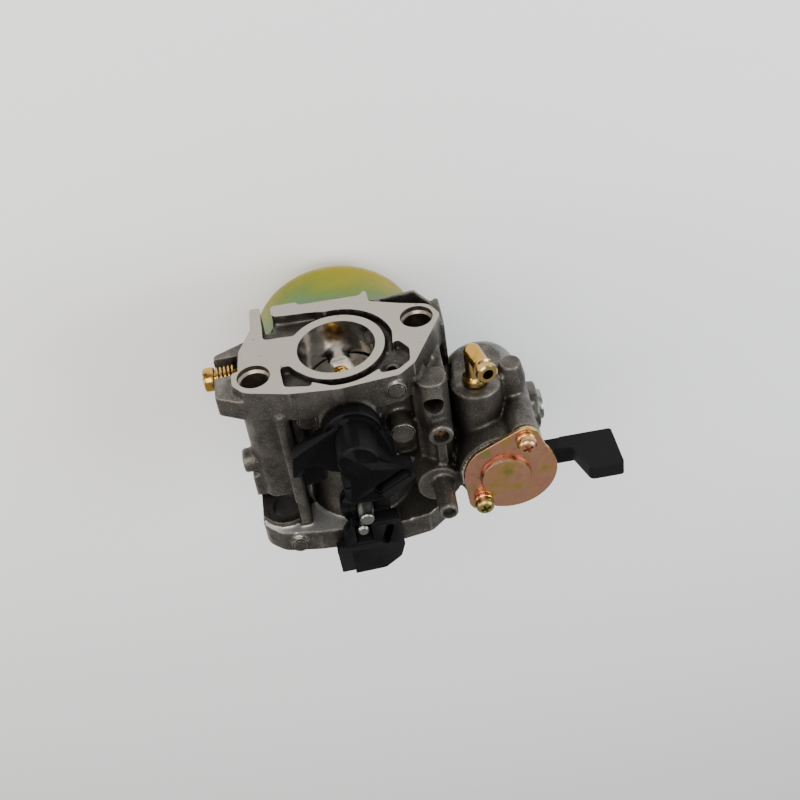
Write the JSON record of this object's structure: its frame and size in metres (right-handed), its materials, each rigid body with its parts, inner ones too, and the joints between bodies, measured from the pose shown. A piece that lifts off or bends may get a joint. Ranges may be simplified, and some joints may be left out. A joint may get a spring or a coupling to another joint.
{
  "type": "small engine carburetor",
  "caption": "Butterfly carburetor with float bowl, slotted throttle and choke levers, fuel tap with lever, sediment cup, inlet elbow and sprung pilot screw.",
  "frame": {"origin": "centre of the bore on the engine flange's machined face", "axes": "+Y out of the engine flange along the bore, +Z towards the levers on top (float bowl at -Z), +X towards the fuel tap"},
  "size_m": [0.0958, 0.0579, 0.0744],
  "materials": {
    "cast_aluminium": "as-cast, machined on the flange face",
    "zinc_yellow": "yellow zinc passivate, glossy",
    "zinc_clear": "clear zinc plate",
    "steel": "satin",
    "brass": "turned",
    "black_plastic": "satin black, moulded",
    "rubber": "matt"
  },
  "bodies": {
    "body": {"body_casting": "cast_aluminium", "fuel_inlet_elbow": "zinc_yellow", "valve_cover_plate": "zinc_yellow", "valve_cover_washer_upper": "zinc_yellow", "valve_cover_washer_lower": "zinc_yellow", "valve_cover_screw_upper": "zinc_yellow", "valve_cover_screw_lower": "zinc_yellow", "float_bowl": "zinc_yellow", "bowl_bolt": "zinc_yellow", "drain_bolt": "zinc_yellow", "strainer_cup": "zinc_clear", "fuel_passage_plug": "zinc_clear", "valve_wave_spring": "steel", "strainer_screen": "steel", "bowl_bolt_washer": "steel", "drain_bolt_washer": "steel", "float_pin": "steel", "main_jet": "brass", "emulsion_tube": "brass", "pilot_jet": "brass", "needle_seat": "brass", "throttle_shaft_seal": "rubber", "valve_gasket": "rubber", "strainer_cup_seal": "rubber", "float_bowl_seal": "rubber"},
    "throttle": {"throttle_shaft": "steel", "throttle_plate": "brass", "throttle_plate_screw": "zinc_yellow", "throttle_lever": "black_plastic"},
    "choke": {"choke_shaft": "zinc_clear", "choke_plate": "brass", "choke_plate_screw_upper": "zinc_yellow", "choke_plate_screw_lower": "zinc_yellow", "choke_lever": "black_plastic"},
    "fuel_valve": {"fuel_valve_lever": "black_plastic"},
    "float_arm": {"float": "black_plastic"},
    "needle": {"needle_valve": "brass"},
    "pilot_carrier": {"pilot_screw_spring": "zinc_yellow"},
    "pilot": {"pilot_screw": "zinc_yellow"}
  },
  "joints": [
    {"name": "throttle_turn", "type": "hinge", "parent": "body", "child": "throttle", "pos_m": [0, -0.0115, 0], "axis": [0, 0, 1], "range_deg": [0, 72]},
    {"name": "choke_turn", "type": "hinge", "parent": "body", "child": "choke", "pos_m": [0, -0.038, 0], "axis": [0, 0, 1], "range_deg": [-75, 0]},
    {"name": "fuel_valve_turn", "type": "hinge", "parent": "body", "child": "fuel_valve", "pos_m": [0.035, -0.0324, 0.0116], "axis": [0, 0, 1], "range_deg": [-90, 0]},
    {"name": "float_swing", "type": "hinge", "parent": "body", "child": "float_arm", "pos_m": [0.0135, -0.025, -0.023], "axis": [0, 1, 0], "range_deg": [0, 5]},
    {"name": "needle_lift", "type": "slide", "parent": "body", "child": "needle", "axis": [0, 0, 1], "range_m": [0, 0.00036652]},
    {"name": "pilot_screw_travel", "type": "slide", "parent": "body", "child": "pilot_carrier", "axis": [1, 0, 0], "range_m": [0, 0.001], "deforming": ["pilot_screw_spring"]},
    {"name": "pilot_screw_turn", "type": "hinge", "parent": "pilot_carrier", "child": "pilot", "pos_m": [-0.0328, -0.0056, -0.0026], "axis": [1, 0, 0], "range_deg": [0, 720]}
  ],
  "couplings": [
    {"joint": "needle_lift", "follows": "float_swing", "m_per_rad": 0.0042},
    {"joint": "pilot_screw_turn", "follows": "pilot_screw_travel", "rad_per_m": 12566}
  ]
}
